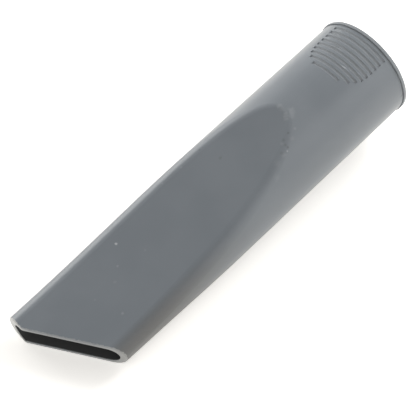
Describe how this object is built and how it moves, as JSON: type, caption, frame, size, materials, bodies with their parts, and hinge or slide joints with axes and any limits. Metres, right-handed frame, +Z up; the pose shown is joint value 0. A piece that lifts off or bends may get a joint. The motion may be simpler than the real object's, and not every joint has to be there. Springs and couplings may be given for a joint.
{
  "type": "vacuum crevice tool",
  "caption": "Grey plastic crevice nozzle for a vacuum wand: a round push-on socket that flattens into an oblique slot.",
  "frame": {"origin": "on the surface that the tool lies on, under the middle of its bounding box", "axes": "+Z up, +X along the tool from the socket's mouth to the nozzle, level with the surface"},
  "size_m": [0.1602, 0.04, 0.0448],
  "materials": {
    "grey_plastic": "semi-matte grey moulded plastic, lightly scuffed"
  },
  "bodies": {
    "root": {"crevice_tool_body": "grey_plastic"}
  },
  "joints": []
}
